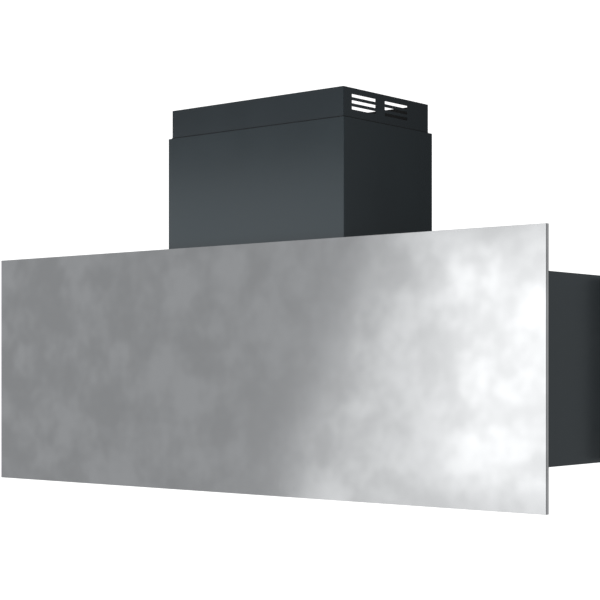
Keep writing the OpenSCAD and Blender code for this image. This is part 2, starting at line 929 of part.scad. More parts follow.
module wiring_box() {
    z0 = top_under - wiring_h;
    color(black_plastic) difference() {
        block([wiring_x0, -wiring_y, z0], [wiring_x1, wiring_y, top_under]);
        block([wiring_x0 + wiring_t, -wiring_y + wiring_t, z0 - cut],
              [wiring_x1 - wiring_t, wiring_y - wiring_t, top_under - wiring_t]);
        translate([gland_x, 0, 0]) round_z(gland_hex_r + 2, top_under - wiring_t - cut, top_under + cut);
    }
}

module wiring_lid() {
    z1 = top_under - wiring_h;
    step = wiring_t + fit_gap;
    color(black_plastic) {
        block([wiring_x0, -wiring_y, z1 - wiring_t], [wiring_x1, wiring_y, z1]);
        block([wiring_x0 + step, -wiring_y + step, z1], [wiring_x1 - step, wiring_y - step, z1 + 2]);
    }
}

// Circuit board with its transformer, relays and terminal block
module power_board() {
    z = top_under - wiring_t - 8;
    x0 = wiring_x0 + 58;
    x1 = wiring_x1 - wiring_t - 2;
    color(board_green) {
        block([x0, -50, z - board_t], [x1, 50, z]);
        four_corners_of(x0 + 5, x1 - 5, 45) round_z(2.5, z, top_under - wiring_t);
        block([x0 + 8, -40, z - board_t - 22], [x0 + 40, -12, z - board_t]);
        for (i = [0:2]) block([x0 + 8 + 18 * i, 4, z - board_t - 14], [x0 + 20 + 18 * i, 22, z - board_t]);
        block([x0 + 8, 30, z - board_t - 10], [x1 - 12, 42, z - board_t]);
    }
}

module four_corners_of(x0, x1, y) {
    for (x = [x0, x1], s = [-y, y]) translate([x, s, 0]) children();
}

// Cable gland in the body's top, inside the chimney
module cable_gland() {
    color(black_plastic) translate([gland_x, 0, 0]) difference() {
        union() {
            round_z(gland_thread_r, top_under - 8, body_top);
            translate([0, 0, body_top]) cylinder(r = gland_hex_r, h = 5, $fn = 6);
            round_z(gland_hex_r - 1.5, body_top + 5, body_top + 17);
            translate([0, 0, top_under - 5]) cylinder(r = gland_hex_r, h = 5, $fn = 6);
        }
        round_z(gland_bore_r, top_under - 10, body_top + 20);
    }
}

// ---- lamps ----

module at_lamps() {
    four_corners() translate([lamp_x, lamp_y, 0]) children();
}

module lamp_bezels() {
    trim_z = tray_bottom - lamp_trim_t;
    color(satin_steel) at_lamps() difference() {
        union() {
            round_z(lamp_d / 2, trim_z, tray_bottom);
            round_z(lamp_barrel_r, trim_z, tray_bottom + lamp_barrel_h);
        }
        round_z(lamp_window_r - 1.5, trim_z - cut, tray_bottom + lamp_barrel_h + cut);
        round_z(lamp_window_r, trim_z + 0.8, tray_bottom + lamp_barrel_h + cut);
    }
}

module lamp_lenses() {
    z = tray_bottom - lamp_trim_t + 0.8;
    color(lens_white) at_lamps() round_z(lamp_window_r - fit_gap, z, z + lens_t);
}

// Finned heat sink with the light board under it
module lamp_heatsinks() {
    z0 = tray_bottom + lamp_barrel_h;
    r = lamp_barrel_r - 1;
    fins = 7;
    color(zinc) at_lamps() {
        round_z(r, z0, z0 + 4);
        intersection() {
            round_z(r, z0 + 4, z0 + lamp_sink_h);
            for (i = [0:fins - 1]) translate([(i - (fins - 1) / 2) * 2 * r / fins, 0, 0])
                block([-0.9, -r, z0 + 4], [0.9, r, z0 + lamp_sink_h]);
        }
        round_z(lamp_window_r - 4, z0 - 2, z0);
    }
}

// ---- controls ----

function button_x(i) = (i - (buttons - 1) / 2) * button_pitch;

module control_plate() {
    color(satin_steel) translate([0, control_y, 0]) difference() {
        block([-control_w / 2, -control_d / 2, tray_bottom - control_t],
              [control_w / 2, control_d / 2, tray_bottom]);
        for (i = [0:buttons - 1]) translate([button_x(i), 0, 0])
            round_z(button_r + button_gap, tray_bottom - control_t - cut, tray_bottom + cut);
    }
}

// Cover over the control board, with four pegs down to it
module control_housing() {
    half_x = control_w / 2 - 5;
    half_y = control_d / 2 - 0.5;
    z1 = tray_top + housing_h;
    color(black_plastic) translate([0, control_y, 0]) {
        difference() {
            block([-half_x, -half_y, tray_top], [half_x, half_y, z1]);
            block([-half_x + housing_t, -half_y + housing_t, tray_top - cut],
                  [half_x - housing_t, half_y - housing_t, z1 - housing_t]);
        }
        four_corners_of(-half_x + 6, half_x - 6, half_y - 5) round_z(2, board_z + board_t, z1 - housing_t);
    }
}

module control_board() {
    half_x = control_w / 2 - 5 - housing_t - fit_gap;
    half_y = control_d / 2 - 0.5 - housing_t - fit_gap;
    color(board_green) translate([0, control_y, 0]) {
        block([-half_x, -half_y, board_z], [half_x, half_y, board_z + board_t]);
        for (i = [0:buttons - 1]) translate([button_x(i), 0, 0])
            block([-switch_size / 2, -switch_size / 2, board_z - switch_h],
                  [switch_size / 2, switch_size / 2, board_z]);
    }
}

// Push button: cap, a collar that keeps it in, and a stem up to its switch
module push_button(i) {
    low = tray_bottom - control_t - button_proud;
    collar_z = tray_bottom + move_gap;
    stem_top = board_z - switch_h - button_travel - move_gap;
    color(satin_steel) translate([button_x(i), control_y, 0]) {
        round_z(button_r, low, collar_z);
        round_z(button_collar_r, collar_z, collar_z + 1);
        round_z(2, collar_z + 1, stem_top);
    }
}

// ---- filters ----

function filter_x(i) = (i - (filters - 1) / 2) * (filter_w + filter_gap);

// Hooks on the tray's rear edge that carry the filters' hinge pins
module hinge_hooks() {
    front = hinge_y - 3.5;
    for (i = [0:filters - 1], side = [-1, 1]) translate([filter_x(i) + side * hinge_offset, 0, 0])
        difference() {
            block([-hook_w / 2, front, filter_bottom], [hook_w / 2, open_d / 2, hinge_z + 2.5]);
            translate([0, hinge_y, hinge_z]) round_x(hinge_pin_r + run_gap, -hook_w, hook_w);
            block([-hook_w, hinge_y - hinge_pin_r - run_gap, hinge_z],
                  [hook_w, hinge_y + hinge_pin_r + run_gap, hinge_z + 10]);
        }
}

// Filter frame: channel rails that hold the baffles, and a solid rear rail with two hinge notches
module filter_frame(i) {
    w = filter_w / 2;
    d = filter_d / 2;
    z0 = filter_bottom;
    z1 = filter_bottom + filter_h;
    color(satin_steel) translate([filter_x(i), 0, 0]) {
        difference() {
            block([-w, -d, z0], [w, d, z1]);
            block([-w + filter_rail, -d + filter_rail, z0 - cut],
                  [w - filter_rail, d - filter_rail, z1 + cut]);
            block([-w + filter_lip, -d + filter_lip, z0 + filter_lip],
                  [w - filter_lip, d - filter_rail, z1 - filter_lip]);
            both_x() block([hinge_offset - notch_w / 2, d - filter_rail + notch_wall, z0 - cut],
                           [hinge_offset + notch_w / 2, d + cut, z1 + cut]);
        }
        both_x() translate([hinge_offset, hinge_y, hinge_z]) round_x(hinge_pin_r, -notch_w / 2, notch_w / 2);
    }
}

// Channels open upward below, and channels open downward above the gaps between them
module filter_baffles(i) {
    inner_w = filter_w - 2 * filter_lip - 2 * fit_gap;
    steps = floor((inner_w - baffle_w) / baffle_pitch);
    pitch = (inner_w - baffle_w) / steps;
    low = filter_bottom + filter_lip + fit_gap;
    high = filter_bottom + filter_h - filter_lip - fit_gap;
    y0 = -filter_d / 2 + filter_lip + fit_gap;
    y1 = filter_d / 2 - filter_rail - fit_gap;
    color(satin_steel) translate([filter_x(i), 0, 0]) along_y(y0, y1) {
        for (k = [0:steps]) translate([(k - steps / 2) * pitch, low]) channel();
        for (k = [0:steps - 1]) translate([(k + 0.5 - steps / 2) * pitch, high]) mirror([0, 1]) channel();
    }
}

// Section of one baffle channel, open upward
module channel() {
    difference() {
        translate([-baffle_w / 2, 0]) square([baffle_w, baffle_h]);
        translate([-baffle_w / 2 + baffle_t, baffle_t]) square([baffle_w - 2 * baffle_t, baffle_h]);
    }
}

// Bar handle under the filter and the two spring clips at its front edge
module filter_handle(i) {
    y = -filter_d / 2 + handle_inset;
    z = filter_bottom - handle_drop;
    foot_x = handle_l / 2 - handle_r;
    clip_z = filter_bottom + filter_h / 2;
    foot_top = filter_bottom + filter_lip + fit_gap;
    color(satin_steel) translate([filter_x(i), 0, 0]) {
        translate([0, y, z]) round_x(handle_r, -handle_l / 2, handle_l / 2);
        both_x() translate([foot_x, y, 0]) {
            round_z(handle_r - 0.5, z, foot_top);
        }
        both_x() along_x(hinge_offset - clip_w / 2, hinge_offset + clip_w / 2)
            polygon(clip_points(-filter_d / 2, clip_z));
    }
}

// Side outline of a bowed leaf clip that stands out in front of the frame at y
function clip_points(y, z) = [
    [y, z + 4], [y - clip_reach, z + 1], [y - clip_reach, z - 1], [y, z - 4],
    [y, z - 4 + 1.4 * clip_t], [y - clip_reach + clip_t, z - 0.6], [y - clip_reach + clip_t, z + 0.6],
    [y, z + 4 - 1.4 * clip_t]];

ceiling_plate();
upper_posts();
upper_brace();
sleeve_front();
sleeve_rear();
lower_chimney_front();
lower_chimney_rear();
chimney_brackets();
lower_frame();
frame_screws();
base_bolts();
top_plate();
carrier_rails();
front_wall();
rear_wall();
end_cover_left();
end_cover_right();
bottom_tray();
front_panel_skin();
rear_panel_skin();
panel_cores();
panel_seals();
panel_studs();
duct_collar();
damper_left();
damper_right();
scroll_left();
scroll_right();
blower_bolts();
motor_bracket();
motor_shell();
motor_stator();
motor_bearings();
motor_shaft();
motor_rotor();
blower_wheel();
capacitor();
wiring_box();
wiring_lid();
power_board();
cable_gland();
lamp_bezels();
lamp_lenses();
lamp_heatsinks();
control_plate();
control_housing();
control_board();
push_button(0);  // button_1
push_button(1);  // button_2
push_button(2);  // button_3
push_button(3);  // button_4
filter_frame(0);  // filter_frame_left
filter_frame(1);  // filter_frame_middle
filter_frame(2);  // filter_frame_right
filter_baffles(0);  // filter_baffles_left
filter_baffles(1);  // filter_baffles_middle
filter_baffles(2);  // filter_baffles_right
filter_handle(0);  // filter_handle_left
filter_handle(1);  // filter_handle_middle
filter_handle(2);  // filter_handle_right
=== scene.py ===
# %% [markdown]
# # An island range hood
#
# This lesson dresses a range hood that hangs from a ceiling over a cooking island. The exact solids come
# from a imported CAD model. Blender adds what CAD leaves out: soft folds along the sheet edges, a foam strip
# round the chimney's sleeve and finishes such as ground steel and powder coat, then a camera, lights and a
# floor.
#
# The first cell loads the solids. Each one keeps its place, so everything after it can be measured from
# them.

import bmesh
import bpy
import math
from mathutils import Matrix, Vector


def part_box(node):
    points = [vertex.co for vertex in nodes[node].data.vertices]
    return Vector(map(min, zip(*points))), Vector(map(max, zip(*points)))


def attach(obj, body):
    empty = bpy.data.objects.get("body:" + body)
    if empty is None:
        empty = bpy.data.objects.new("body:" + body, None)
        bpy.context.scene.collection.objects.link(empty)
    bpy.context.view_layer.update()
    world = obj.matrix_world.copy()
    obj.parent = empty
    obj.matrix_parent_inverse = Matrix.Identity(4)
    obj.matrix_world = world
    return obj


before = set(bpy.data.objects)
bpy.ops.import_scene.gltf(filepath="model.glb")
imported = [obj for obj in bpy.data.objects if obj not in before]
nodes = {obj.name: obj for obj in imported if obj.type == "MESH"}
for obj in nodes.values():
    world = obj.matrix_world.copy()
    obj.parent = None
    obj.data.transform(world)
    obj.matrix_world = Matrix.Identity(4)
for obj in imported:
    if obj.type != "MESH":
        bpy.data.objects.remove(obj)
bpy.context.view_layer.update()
scene = bpy.context.scene
MM = 0.001


def add(name, data):
    """Puts a new object into the scene. Its data is what it shows: a camera, a mesh or a light."""
    thing = bpy.data.objects.new(name, data)
    scene.collection.objects.link(thing)
    return thing


# %% [markdown]
# ## The camera
#
# A long lens from 2.6 m away keeps the perspective gentle. The camera stands level with the panel's middle,
# to the right of it, and its frame is shifted up so that the chimney fits in. Keeping the camera level
# keeps every upright edge upright in the picture. The Standard view transform shows each colour as it is
# computed.

# %% Camera
panel_lo, panel_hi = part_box("front_panel_skin")
panel_middle = Vector((0, panel_lo.y, (panel_lo.z + panel_hi.z) / 2))
camera_from_panel = Vector((1.7562, -1.9263, 0))
camera_heading = math.radians(39.92)

camera = add("camera", bpy.data.cameras.new("camera"))
camera.location = panel_middle + camera_from_panel
camera.rotation_euler = (math.radians(90), 0, camera_heading)
camera.data.lens = 93.9
camera.data.sensor_width = 36
camera.data.shift_y = 0.115
scene.camera = camera
scene.view_settings.view_transform = "Standard"
print("camera:", [round(c, 3) for c in camera.location])

# %% [markdown]
# ## One class for shader maths
#
# A material is a graph of nodes. Written out link by link, even a short formula fills a page. So Wire wraps
# one socket, and arithmetic on it adds the node that does the sum. Graph holds a node tree, and its node()
# adds any other node. A Finish is the graph of one material. The world, further down, is a graph too.

# %% Shader maths
SHARP = 0.2 * MM


class Wire:
    """One output socket. Arithmetic on it adds Math nodes, or Vector Math nodes if it carries a vector."""

    def __init__(self, graph, socket):
        self.graph = graph
        self.socket = socket

    def _sum(self, operation, other):
        vector = self.socket.type == "VECTOR"
        kind = "ShaderNodeVectorMath" if vector else "ShaderNodeMath"
        return self.graph.node(kind, {"operation": operation}, {0: self, 1: other})

    def __add__(self, other):
        return self._sum("ADD", other)

    def __sub__(self, other):
        return self._sum("SUBTRACT", other)

    def __mul__(self, other):
        return self._sum("MULTIPLY", other)


class Graph:
    """A node tree. node() adds any node to it, and the rest are short ways to the nodes used most."""

    def __init__(self, tree):
        self.tree = tree

    def node(self, kind, settings, sockets, output=0):
        """Adds a node: settings first, then values or wires on its sockets. Returns one of its outputs."""
        made = self.tree.nodes.new(kind)
        for key, value in settings.items():
            setattr(made, key, value)
        for key, value in sockets.items():
            self.join(value, made.inputs[key])
        return Wire(self, made.outputs[output])

    def join(self, value, socket):
        """Links a wire to the socket, or sets the socket to a plain value."""
        if isinstance(value, Wire):
            self.tree.links.new(value.socket, socket)
        elif isinstance(value, tuple) and socket.type == "RGBA":
            socket.default_value = (*value, 1)
        else:
            socket.default_value = value

    def place(self):
        """Where a point is on the piece, in metres, the same at every pose."""
        return self.node("ShaderNodeTexCoord", {}, {}, "Object")

    def axis(self, vector, name):
        """One coordinate of a vector: X, Y or Z."""
        return self.node("ShaderNodeSeparateXYZ", {}, {"Vector": vector}, name)

    def unsigned(self, vector):
        """The vector without its signs, so that both sides of the middle look alike."""
        return self.node("ShaderNodeVectorMath", {"operation": "ABSOLUTE"}, {0: vector})

    def circles(self, from_middle, scale, y, z):
        """A place that changes only with the distance from an upright axis. Noise on it makes rings."""
        flat = from_middle * (1, 1, 0)
        radius = self.node("ShaderNodeVectorMath", {"operation": "LENGTH"}, {0: flat}, "Value")
        return self.node("ShaderNodeCombineXYZ", {}, {"X": radius * scale, "Y": y, "Z": z})

    def noise(self, where, scale, detail, roughness=0.5):
        """Soft random values around one half. A larger scale gives smaller blots."""
        sockets = {"Vector": where, "Scale": scale, "Detail": detail, "Roughness": roughness}
        return self.node("ShaderNodeTexNoise", {}, sockets)

    def spread(self, value, low, high, to_low=0, to_high=1):
        """Stretches a value from low..high to another range, and stops it at both ends."""
        sockets = {"Value": value, "From Min": low, "From Max": high, "To Min": to_low, "To Max": to_high}
        return self.node("ShaderNodeMapRange", {"interpolation_type": "SMOOTHSTEP"}, sockets)

    def blend(self, factor, first, second):
        """Mixes two colours."""
        return self.node("ShaderNodeMix", {"data_type": "RGBA"}, {0: factor, 6: first, 7: second}, 2)

    def bump(self, height, distance, strength, under=None):
        """Turns a height from 0 to 1 into relief of that distance in metres, on top of another relief."""
        sockets = {"Height": height, "Distance": distance, "Strength": strength}
        if under is not None:
            sockets["Normal"] = under
        return self.node("ShaderNodeBump", {}, sockets)

    def edge(self, radius):
        """1 on sharp edges within a radius in metres, 0 elsewhere."""
        rounded = self.node("ShaderNodeBevel", {"samples": 4}, {"Radius": radius})
        flat = self.node("ShaderNodeNewGeometry", {}, {}, "Normal")
        turn = self.node("ShaderNodeVectorMath", {"operation": "DOT_PRODUCT"}, {0: rounded, 1: flat}, "Value")
        return self.spread(turn, 0.98, 0.75)


class Finish(Graph):
    """A material with one Principled shader."""

    def __init__(self, name):
        self.material = bpy.data.materials.new(name)
        self.material.use_nodes = True
        super().__init__(self.material.node_tree)
        self.shader = self.tree.nodes["Principled BSDF"]

    def set(self, **sockets):
        """Sets the shader's sockets. An underscore in a name stands for a space."""
        for key, value in sockets.items():
            self.join(value, self.shader.inputs[key.replace("_", " ")])


def shaded(colour, factor):
    """The colour made darker by a factor below 1, or lighter by one above 1."""
    return tuple(c * factor for c in colour)


print("a change of finish takes", round(SHARP / MM, 1), "mm")

# %% [markdown]
# ## Powder coat
#
# The body and the chimney are dark sheet with a satin powder coat. Powder melts into a skin with a very
# fine orange peel, so its bump is a small soft noise. Its colour and its gloss drift a little from place to
# place, and its sharpest edges are worn a trace lighter. The sleeve's coat is a slightly darker copy, a
# painted shade. Inside the sleeve the coat is painted near black like a black undercoat, which is painted
# shade that darkens the hollow, so the shader asks how far a point is from the chimney's middle.

# %% Powder coat
WORN_GREY = (0.16, 0.165, 0.17)
PAINTED_SHADE_BLACK = (0.002, 0.002, 0.002)


def powder_coat(name, colour, inside=None):
    """The coat. Within inside, a half width and half depth in metres, it is painted near black as painted
    shade.
    """
    coat = Finish(name)
    place = coat.place()
    peel = coat.noise(place, scale=900, detail=1)
    drift = coat.noise(place, scale=7, detail=3)
    shade = coat.blend(coat.spread(drift, 0.3, 0.7), colour, shaded(colour, 1.12))
    worn = coat.edge(0.6 * MM) * coat.spread(coat.noise(place, scale=60, detail=4), 0.5, 0.62)
    shade = coat.blend(worn * 0.35, shade, WORN_GREY)
    gloss = coat.spread(drift, 0.3, 0.7, 0.21, 0.24)
    if inside:
        half_width, half_depth = inside
        from_middle = coat.unsigned(place)
        within_width = coat.spread(coat.axis(from_middle, "X"), half_width, half_width - SHARP)
        within_depth = coat.spread(coat.axis(from_middle, "Y"), half_depth, half_depth - SHARP)
        painted_shade_inside = within_width * within_depth
        # Painted shade: inside the sleeve the coat turns near black, to darken the hollow.
        shade = coat.blend(painted_shade_inside, shade, PAINTED_SHADE_BLACK)
        gloss = gloss + painted_shade_inside * 0.5
    coat.set(Base_Color=shade, Roughness=gloss, Normal=coat.bump(peel, 0.04 * MM, 0.35))
    return coat.material


anthracite = powder_coat("powder_coat_anthracite", (0.016, 0.026, 0.031))
sleeve_lo, sleeve_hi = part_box("sleeve_front")
rear_lo, rear_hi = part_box("sleeve_rear")
sheet_t = rear_hi.y - rear_lo.y
sleeve_inside = (sleeve_hi.x - sheet_t / 2, rear_hi.y - sheet_t / 2)
# The sleeve's coat is a slightly darker copy of the body's anthracite, a painted shade, and its inside is
# painted near black, more painted shade.
sleeve_coat_painted_shade = powder_coat("powder_coat_sleeve_painted_shade", (0.013, 0.021, 0.026), sleeve_inside)
print("powder coat ready")

# %% [markdown]
# ## The panels' steel
#
# The two large panels are stainless sheet, ground with a fine belt. No sheet of a metre is quite flat, and
# the belt's pressure varies, so a reflection in it looks cloudy. Broad waves and smaller blots of relief
# bend the reflection, and the blots also change the tone and the gloss. Very fine lines along the panel
# vary the gloss too.

# %% Panel steel
def cloudy_steel(name, colour):
    steel = Finish(name)
    place = steel.place()
    waves = steel.noise(place, scale=6, detail=2)
    blots = steel.noise(place, scale=15, detail=2)
    lines = steel.noise(place * (6, 1, 900), scale=1, detail=2)
    tone = steel.spread(blots, 0.3, 0.7)
    shade = steel.blend(tone, shaded(colour, 0.88), shaded(colour, 1.06))
    rough = steel.spread(blots, 0.3, 0.7, 0.19, 0.15) + (lines - 0.5) * 0.02
    relief = steel.bump(waves, 1.5 * MM, 0.5)
    relief = steel.bump(blots, 0.12 * MM, 0.5, relief)
    steel.set(Base_Color=shade, Metallic=1.0, Roughness=rough, Normal=relief)
    return steel.material


panel_steel = cloudy_steel("panel_steel_cloudy", (0.575, 0.58, 0.585))
print("panel steel ready")

# %% [markdown]
# ## Brushed steel
#
# The filters, the lamp rings and the control strip are brushed. A brush leaves thousands of fine scratches
# in one direction. Noise that is stretched a few hundred times along that direction makes them, and they
# change both the gloss and the relief. Flat pieces are brushed in straight lines, and the lamp rings in
# circles.

# %% Brushed steel
def brushed_steel(name, colour, stretch=(5, 1400, 1400), circles_at=None):
    steel = Finish(name)
    place = steel.place()
    if circles_at:
        along = steel.circles(steel.unsigned(place) - circles_at, 1500, 3.0, 7.0)
    else:
        along = place * stretch
    scratches = steel.noise(along, scale=1, detail=3, roughness=0.6)
    smears = steel.noise(place, scale=28, detail=3)
    shade = steel.blend(steel.spread(scratches, 0.3, 0.7), shaded(colour, 0.88), colour)
    rough = steel.spread(smears, 0.3, 0.7, 0.24, 0.33) + (scratches - 0.5) * 0.12
    relief = steel.bump(scratches, 0.02 * MM, 0.4)
    steel.set(Base_Color=shade, Metallic=1.0, Roughness=rough, Normal=relief)
    return steel.material


filter_steel = brushed_steel("filter_steel_brushed", (0.60, 0.61, 0.61), (1400, 5, 1400))
strip_steel = brushed_steel("control_steel_brushed", (0.60, 0.61, 0.62))
_, lamp_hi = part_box("lamp_bezels")
lamp_r = 31 * MM
lamp_at = (lamp_hi.x - lamp_r, lamp_hi.y - lamp_r, 0)
ring_steel = brushed_steel("lamp_steel_turned", (0.60, 0.61, 0.62), circles_at=lamp_at)
print("lamps at", [round(c, 3) for c in lamp_at])

# %% [markdown]
# ## Button steel
#
# Each button is a small turned cap. Its scratches run in circles round its own middle, which Generated
# coordinates give: they run from 0 to 1 over each piece's own box, so one material serves all four.

# %% Button steel
def turned_cap(name, colour):
    cap = Finish(name)
    own = cap.node("ShaderNodeTexCoord", {}, {}, "Generated")
    along = cap.circles(own - (0.5, 0.5, 0.0), 40, 1.0, 5.0)
    rings = cap.noise(along, scale=1, detail=2)
    thumb = cap.noise(cap.place(), scale=140, detail=3)
    shade = cap.blend(cap.spread(rings, 0.3, 0.7), shaded(colour, 0.8), colour)
    rough = cap.spread(thumb, 0.35, 0.65, 0.18, 0.36)
    cap.set(Base_Color=shade, Metallic=1.0, Roughness=rough, Normal=cap.bump(rings, 0.02 * MM, 0.5))
    return cap.material


button_steel = turned_cap("button_steel_turned", (0.62, 0.63, 0.64))
print("button steel ready")

# %% [markdown]
# ## Zinc
#
# The ceiling frame, the rails, the brackets, the bolts and the motor's shell are zinc-coated. As the coat
# cools it freezes into flat crystals, the spangle, each with its own shade. A Voronoi texture gives such
# cells, and its colour output gives each cell a random value.

# %% Zinc
def spangled_zinc(name, colour):
    zinc = Finish(name)
    place = zinc.place()
    sockets = {"Vector": place + zinc.noise(place, scale=60, detail=2) * 0.01, "Scale": 130.0}
    cells = zinc.node("ShaderNodeTexVoronoi", {}, sockets, "Color")
    crystal = zinc.node("ShaderNodeSeparateColor", {}, {"Color": cells}, "Red")
    bloom = zinc.spread(zinc.noise(place, scale=12, detail=4), 0.42, 0.62)
    shade = zinc.blend(crystal, shaded(colour, 0.78), shaded(colour, 1.05))
    shade = zinc.blend(bloom * 0.35, shade, (0.62, 0.64, 0.65))
    rough = crystal * 0.16 + bloom * 0.12 + 0.3
    zinc.set(Base_Color=shade, Metallic=1.0, Roughness=rough, Normal=zinc.bump(crystal, 0.02 * MM, 0.4))
    return zinc.material


zinc_coat = spangled_zinc("zinc_spangled", (0.52, 0.54, 0.55))
print("zinc ready")

# %% [markdown]
# ## Rolled aluminium and ground steel
#
# The damper flaps, the heat sinks and the capacitor's can are plain aluminium with faint rolling marks. The
# shaft and the bearings are ground, so their marks run round the shaft and are much finer. One function
# makes both, because only the direction, the size and the gloss of the marks differ.

# %% Rolled aluminium and ground steel
def marked_metal(name, colour, stretch, gloss, depth):
    metal = Finish(name)
    place = metal.place()
    marks = metal.noise(place * stretch, scale=1, detail=3)
    dull = metal.noise(place, scale=45, detail=3)
    shade = metal.blend(metal.spread(marks, 0.3, 0.7), shaded(colour, 0.86), colour)
    rough = metal.spread(dull, 0.3, 0.7, gloss, gloss + 0.14)
    metal.set(Base_Color=shade, Metallic=1.0, Roughness=rough, Normal=metal.bump(marks, depth, 0.4))
    return metal.material


rolled_aluminium = marked_metal("aluminium_rolled", (0.64, 0.65, 0.66), (30, 300, 300),
                                gloss=0.34, depth=0.03 * MM)
ground_steel = marked_metal("steel_ground", (0.60, 0.61, 0.62), (4000, 40, 40),
                            gloss=0.14, depth=0.01 * MM)
print("aluminium and ground steel ready")

# %% [markdown]
# ## The motor's core
#
# A motor's core is a stack of thin punched sheets, dipped in amber varnish. The stack shows as fine dark
# lines across the shaft, and the varnish as a warm, uneven gloss over them.

# %% Motor core
def laminated_core(name):
    core = Finish(name)
    place = core.place()
    sheets = core.noise(place * (2600, 6, 6), scale=1, detail=1)
    varnish = core.spread(core.noise(place, scale=80, detail=3), 0.4, 0.6)
    shade = core.blend(core.spread(sheets, 0.4, 0.6), (0.05, 0.045, 0.042), (0.24, 0.23, 0.22))
    shade = core.blend(varnish * 0.6, shade, (0.26, 0.11, 0.035))
    rough = varnish * -0.2 + 0.5
    core.set(Base_Color=shade, Metallic=0.5, Roughness=rough, Normal=core.bump(sheets, 0.1 * MM, 0.5))
    return core.material


motor_core = laminated_core("core_laminated")
print("motor core ready")

# %% [markdown]
# ## Moulded plastic
#
# The blower's housing and wheel, the duct collar, the cable gland and the boxes for wiring and controls are
# black plastic from a spark-eroded mould, which gives an even fine grain. The melt fills the mould in faint
# streaks, so the tone and the gloss follow a second, larger noise.

# %% Moulded plastic
def moulded_plastic(name, colour):
    plastic = Finish(name)
    place = plastic.place()
    grain = plastic.noise(place, scale=1900, detail=2, roughness=0.6)
    flow = plastic.noise(place * (9, 9, 30), scale=1, detail=3)
    shade = plastic.blend(plastic.spread(flow, 0.3, 0.7), colour, shaded(colour, 1.35))
    rough = plastic.spread(flow, 0.3, 0.7, 0.42, 0.54) + (grain - 0.5) * 0.1
    plastic.set(Base_Color=shade, Roughness=rough, Normal=plastic.bump(grain, 0.06 * MM, 0.5))
    return plastic.material


black_plastic = moulded_plastic("plastic_moulded", (0.022, 0.023, 0.025))
print("plastic ready")

# %% [markdown]
# ## Resin board
#
# The panels are stiffened by a dark resin board with pressed fibres. Noise that is stretched along one
# direction makes the fibres, which are lighter than the resin and stand slightly proud of it.

# %% Resin board
def resin_board(name, colour):
    board = Finish(name)
    place = board.place()
    fibres = board.noise(place * (60, 900, 260), scale=1, detail=4, roughness=0.65)
    cloud = board.noise(place, scale=9, detail=3)
    shade = board.blend(board.spread(fibres, 0.35, 0.65), colour, shaded(colour, 1.5))
    rough = board.spread(cloud, 0.3, 0.7, 0.5, 0.66)
    board.set(Base_Color=shade, Roughness=rough, Normal=board.bump(fibres, 0.1 * MM, 0.5))
    return board.material


core_board = resin_board("board_resin", (0.068, 0.073, 0.078))
print("board ready")

# %% [markdown]
# ## Foam rubber
#
# The seal behind a panel is foam rubber, full of open pores. The distance from the middle of a Voronoi cell
# is smallest inside a pore, so it makes the pores deep, and paints them dark as painted shade in their
# hollows.

# %% Foam rubber
def foam_rubber(name, colour):
    foam = Finish(name)
    place = foam.place()
    pores = foam.node("ShaderNodeTexVoronoi", {}, {"Vector": place, "Scale": 1100.0}, "Distance")
    open_pore = foam.spread(pores, 0.1, 0.45)
    # Painted shade: the pores are darkened in colour where shade would fall in them.
    shade = foam.blend(open_pore, shaded(colour, 0.4), colour)
    foam.set(Base_Color=shade, Roughness=open_pore * -0.1 + 0.92, Normal=foam.bump(open_pore, 0.3 * MM, 0.6))
    return foam.material


seal_foam = foam_rubber("foam_rubber", (0.03, 0.03, 0.032))
print("foam ready")

# %% [markdown]
# ## Circuit boards
#
# A circuit board is green lacquer over copper tracks, which the edges of Voronoi cells stand for. The power
# board hangs from posts, with its black parts under it, so its finish changes by height. On the control
# board nothing is black, so there that height lies far below the board.

# %% Circuit board
def green_board(name, under):
    """Green above the height given by under, in metres, and black below it."""
    board = Finish(name)
    place = board.place()
    settings = {"feature": "DISTANCE_TO_EDGE"}
    sockets = {"Vector": place * (1, 1.6, 1), "Scale": 160.0}
    tracks = board.node("ShaderNodeTexVoronoi", settings, sockets, "Distance")
    copper = board.spread(tracks, 0.05, 0.09)
    shade = board.blend(copper, (0.045, 0.16, 0.06), (0.018, 0.085, 0.035))
    parts = board.spread(board.axis(place, "Z"), under, under - SHARP)
    shade = board.blend(parts, shade, (0.03, 0.03, 0.033))
    board.set(Base_Color=shade, Roughness=parts * 0.2 + 0.3, Normal=board.bump(copper, 0.04 * MM, 0.5))
    return board.material


_, power_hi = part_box("power_board")
control_lo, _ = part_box("control_board")
posts_and_board = 10 * MM
far_below = 1
power_green = green_board("circuit_board_power", power_hi.z - posts_and_board)
control_green = green_board("circuit_board_control", control_lo.z - far_below)
print("boards ready")

# %% [markdown]
# ## Frosted lens
#
# Each lamp shines through a frosted disc. Frosting is a rough surface on clear plastic: it lets light in,
# scatters it and looks white. Part transmission, an uneven roughness and a fine bump give that without any
# trick.

# %% Frosted lens
def frosted(name):
    lens = Finish(name)
    place = lens.place()
    frost = lens.noise(place, scale=2400, detail=2)
    patch = lens.noise(place, scale=50, detail=2)
    shade = lens.blend(patch, (0.82, 0.84, 0.84), (0.93, 0.94, 0.94))
    lens.set(Base_Color=shade, Roughness=lens.spread(frost, 0.3, 0.7, 0.35, 0.6))
    lens.set(Transmission_Weight=0.35, Normal=lens.bump(frost, 0.05 * MM, 0.4))
    return lens.material


lens_white = frosted("lens_frosted")
print("lens ready")

# %% [markdown]
# ## A finish for every solid
#
# The CAD export names each solid's material after its slot in the parts list. So one table from slot to
# material dresses nearly everything, and a few solids that need their own variant follow.

